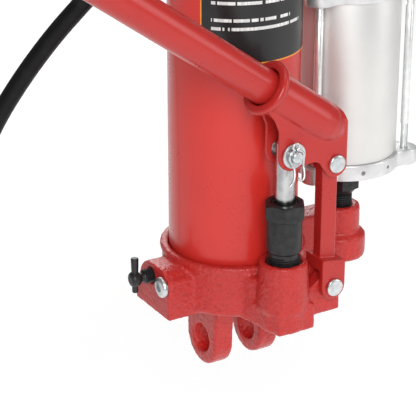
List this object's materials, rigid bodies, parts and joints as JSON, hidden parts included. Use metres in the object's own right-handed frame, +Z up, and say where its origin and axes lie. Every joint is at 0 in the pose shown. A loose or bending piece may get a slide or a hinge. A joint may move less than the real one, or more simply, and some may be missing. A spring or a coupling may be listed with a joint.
{
  "type": "air hydraulic long ram jack",
  "caption": "Air and hand operated long ram jack with clevis ends, side pump handle, release valve, air motor and air hose.",
  "frame": {"origin": "centre of the base clevis pin hole", "axes": "+X along the base clevis pin, +Z up the ram, -Y towards the hand pump"},
  "size_m": [0.662, 0.2371, 0.845],
  "materials": {
    "cast_red": "semi-gloss enamel over a rough casting",
    "tube_red": "gloss enamel",
    "black_oxide": "black oxide, oiled",
    "zinc": "bright zinc plate",
    "chrome": "hard chrome",
    "steel": "turned steel",
    "satin_aluminium": "satin anodised",
    "cast_aluminium": "machined casting",
    "black_rubber": "matt rubber",
    "label": "printed film",
    "brass": "turned brass"
  },
  "bodies": {
    "root": {"base_casting": "cast_red", "safety_valve_plug": "zinc", "reservoir_tube": "tube_red", "pressure_cylinder": "steel", "gland_nut": "tube_red", "rod_wiper": "black_rubber", "tube_label": "label", "oil_filler_plug": "black_rubber", "pump_barrel": "black_oxide", "pump_seal": "black_rubber", "link_lower_pin": "zinc", "motor_adapter": "black_oxide", "motor_base_flange": "cast_aluminium", "motor_barrel": "satin_aluminium", "motor_top_cap": "cast_aluminium", "tie_rod_1": "zinc", "tie_rod_2": "zinc", "tie_rod_3": "zinc", "tie_rod_nut_1": "zinc", "tie_rod_nut_2": "zinc", "tie_rod_nut_3": "zinc", "return_spring": "steel", "motor_inlet_fitting": "brass", "motor_hose_ferrule": "zinc", "air_hose": "black_rubber", "valve_hose_ferrule": "zinc", "air_valve_body": "satin_aluminium", "valve_lever_pin": "steel", "air_inlet_plug": "zinc"},
    "ram": {"ram_rod": "chrome", "ram_piston": "steel", "piston_seal": "black_rubber"},
    "top_clevis": {"top_clevis": "cast_red", "clevis_set_screw": "black_oxide"},
    "link": {"pump_link": "tube_red", "link_upper_pin": "zinc"},
    "lever": {"handle_socket": "tube_red"},
    "handle": {"handle_lower_tube": "tube_red", "handle_upper_tube": "tube_red", "handle_snap_button": "zinc", "handle_grip": "black_rubber"},
    "plunger": {"pump_plunger": "chrome", "plunger_pin": "zinc", "pin_washer": "zinc", "hitch_clip": "zinc"},
    "release_valve": {"release_valve_screw": "black_oxide", "release_valve_bar": "black_oxide"},
    "motor_piston": {"motor_piston": "cast_aluminium", "motor_piston_seal": "black_rubber", "motor_piston_rod": "chrome"},
    "air_lever": {"valve_lever": "zinc"},
    "push_pin": {"valve_push_pin": "zinc"}
  },
  "joints": [
    {"name": "ram_extend", "type": "slide", "parent": "root", "child": "ram", "axis": [0, 0, 1], "range_m": [0, 0.485]},
    {"name": "top_clevis_swivel", "type": "hinge", "parent": "ram", "child": "top_clevis", "pos_m": [0, 0, 0.6], "axis": [0, 0, 1], "continuous": true},
    {"name": "link_swing", "type": "hinge", "parent": "root", "child": "link", "pos_m": [0.034, -0.064, 0.0557], "axis": [0, 1, 0], "range_deg": [-0.5, 1.2]},
    {"name": "handle_pump", "type": "hinge", "parent": "link", "child": "lever", "pos_m": [0.034, -0.064, 0.1444], "axis": [0, 1, 0], "range_deg": [-37.5, 7]},
    {"name": "plunger_stroke", "type": "slide", "parent": "root", "child": "plunger", "axis": [0, 0, 1], "range_m": [-0.024, 0.005]},
    {"name": "handle_pull_out", "type": "slide", "parent": "lever", "child": "handle", "axis": [-0.8141, 0, 0.5807], "range_m": [0, 0.04]},
    {"name": "release_valve_turn", "type": "hinge", "parent": "root", "child": "release_valve", "pos_m": [-0.064, 0.003, 0.0565], "axis": [-1, 0, 0], "range_deg": [0, 360]},
    {"name": "motor_piston_stroke", "type": "slide", "parent": "root", "child": "motor_piston", "axis": [0, 0, 1], "range_m": [-0.045, 0], "stiffness_N_per_m": 400, "springref_m": 0.03, "deforming": ["return_spring"]},
    {"name": "air_lever_press", "type": "hinge", "parent": "root", "child": "air_lever", "pos_m": [-0.15558, 0.14141, -0.1205], "axis": [0, -1, 0], "range_deg": [0, 3.4], "stiffness_Nm_per_rad": 2, "springref_deg": -5.73},
    {"name": "push_pin_stroke", "type": "slide", "parent": "root", "child": "push_pin", "axis": [1, 0, 0], "range_m": [0, 0.0025]}
  ],
  "couplings": [
    {"joint": "link_swing", "follows": "handle_pump", "ratio": -0.0225},
    {"joint": "plunger_stroke", "follows": "handle_pump", "m_per_rad": 0.0345},
    {"joint": "push_pin_stroke", "follows": "air_lever_press", "m_per_rad": 0.037}
  ]
}
